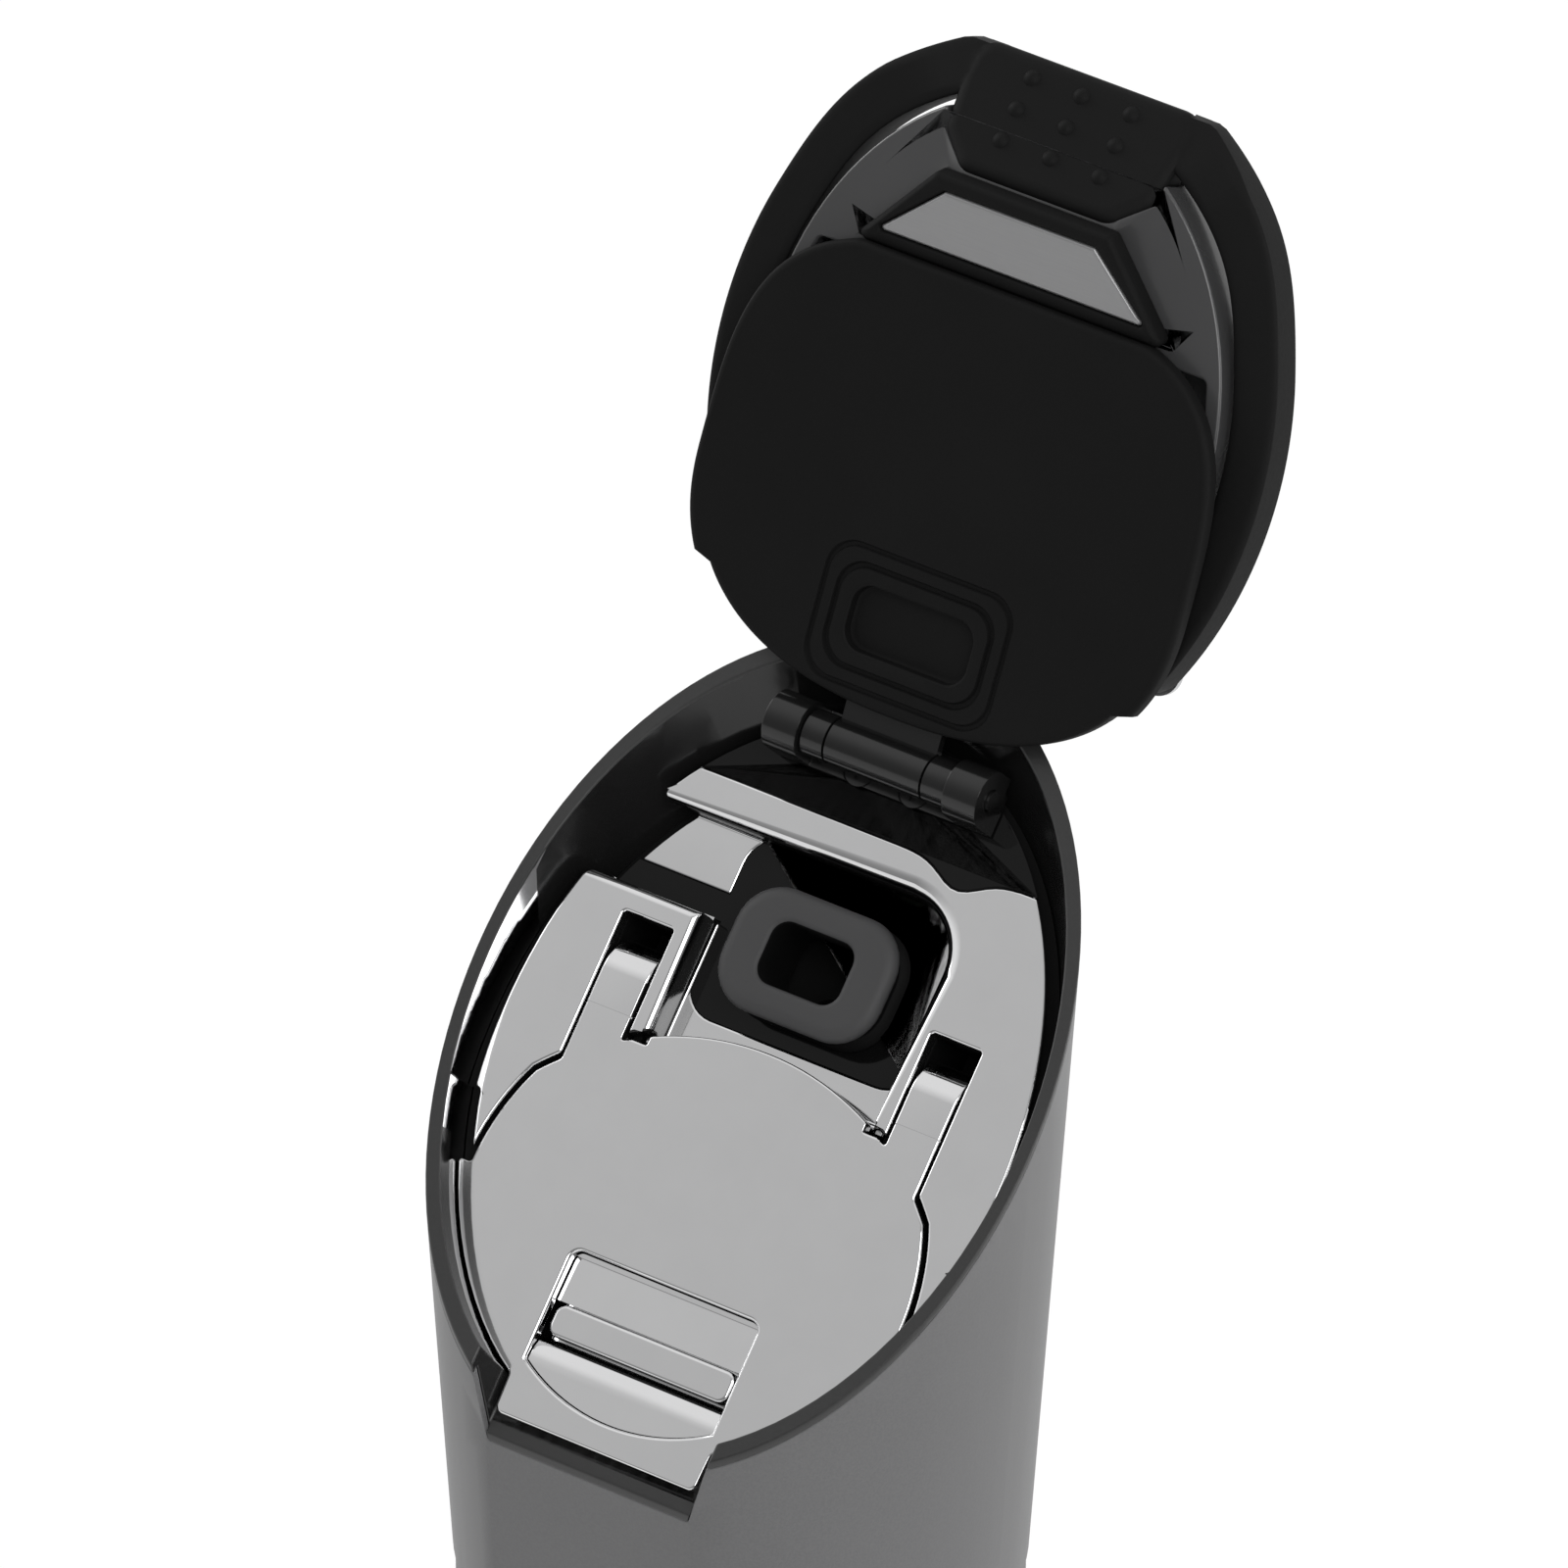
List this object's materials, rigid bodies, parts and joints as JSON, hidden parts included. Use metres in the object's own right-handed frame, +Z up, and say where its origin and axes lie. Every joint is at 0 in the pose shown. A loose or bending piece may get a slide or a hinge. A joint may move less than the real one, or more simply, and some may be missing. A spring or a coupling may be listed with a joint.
{
  "type": "drinking bottle with slanted flip lid",
  "caption": "Insulated drinking bottle with a slanted screw-on head: flip lid with carry loop, soft sip spout and straw, and a hinged drinking flap.",
  "frame": {"origin": "middle of the foot's underside, on the bottle's axis", "axes": "+Z up along the bottle's axis, -Y towards the drinking side, lid hinge at +Y, +X to the right as the drinker's side is seen from the front"},
  "size_m": [0.072, 0.1041, 0.3184],
  "materials": {
    "painted_grey": "satin powder coat",
    "liner_steel": "brushed",
    "black_gloss": "gloss",
    "black_matte": "matte",
    "plated": "bright plated",
    "pin_steel": "turned",
    "lid_grey": "gloss",
    "silicone_black": "matte",
    "silicone_grey": "matte",
    "loop_rubber": "matte",
    "straw_clear": "frosted",
    "plate_satin": "satin"
  },
  "bodies": {
    "bottle": {"bottle_shell": "painted_grey", "bottle_liner": "liner_steel", "base_plate": "liner_steel", "foot_pad": "silicone_black"},
    "neck_seal": {"neck_gasket": "silicone_black"},
    "head": {"head_shell": "painted_grey", "head_housing": "black_gloss", "screw_collar": "black_matte", "drink_base": "black_matte", "deck": "plated", "flap_pins": "pin_steel", "hinge_bracket": "black_gloss", "lid_hinge_pin": "pin_steel", "hinge_bushes": "black_matte", "hinge_screws": "pin_steel", "deck_screws": "pin_steel", "vent_valve": "silicone_grey"},
    "flap": {"flap": "plated", "pull_insert": "plated", "flap_gasket": "silicone_black"},
    "spout": {"spout": "silicone_grey"},
    "straw": {"straw": "straw_clear"},
    "lid": {"lid_frame": "black_matte", "lid_shell": "lid_grey", "lid_seal": "silicone_black", "catch_plate": "plate_satin", "catch_frame": "loop_rubber", "carry_loop": "loop_rubber", "loop_rivets": "pin_steel", "lid_screws": "pin_steel"}
  },
  "joints": [
    {"name": "head_lift", "type": "slide", "parent": "bottle", "child": "neck_seal", "axis": [0, 0, 1], "range_m": [0, 0.0076]},
    {"name": "head_turn", "type": "hinge", "parent": "neck_seal", "child": "head", "pos_m": [0, 0, 0.16], "axis": [0, 0, 1], "range_deg": [0, 540]},
    {"name": "flap_hinge", "type": "hinge", "parent": "head", "child": "flap", "pos_m": [0, 0.00709, 0.22151], "axis": [-1, 0, 0], "range_deg": [0, 82]},
    {"name": "lid_hinge", "type": "hinge", "parent": "head", "child": "lid", "pos_m": [0, 0.02839, 0.25084], "axis": [-1, 0, 0], "range_deg": [-160, 0]},
    {"name": "spout_lift", "type": "slide", "parent": "head", "child": "spout", "axis": [0, -0.6743, 0.7385], "range_m": [0, 0.012]},
    {"name": "straw_pull", "type": "slide", "parent": "head", "child": "straw", "axis": [0, 0, -1], "range_m": [0, 0.008]}
  ],
  "couplings": [
    {"joint": "head_lift", "follows": "head_turn", "m_per_rad": 0.00079577}
  ]
}
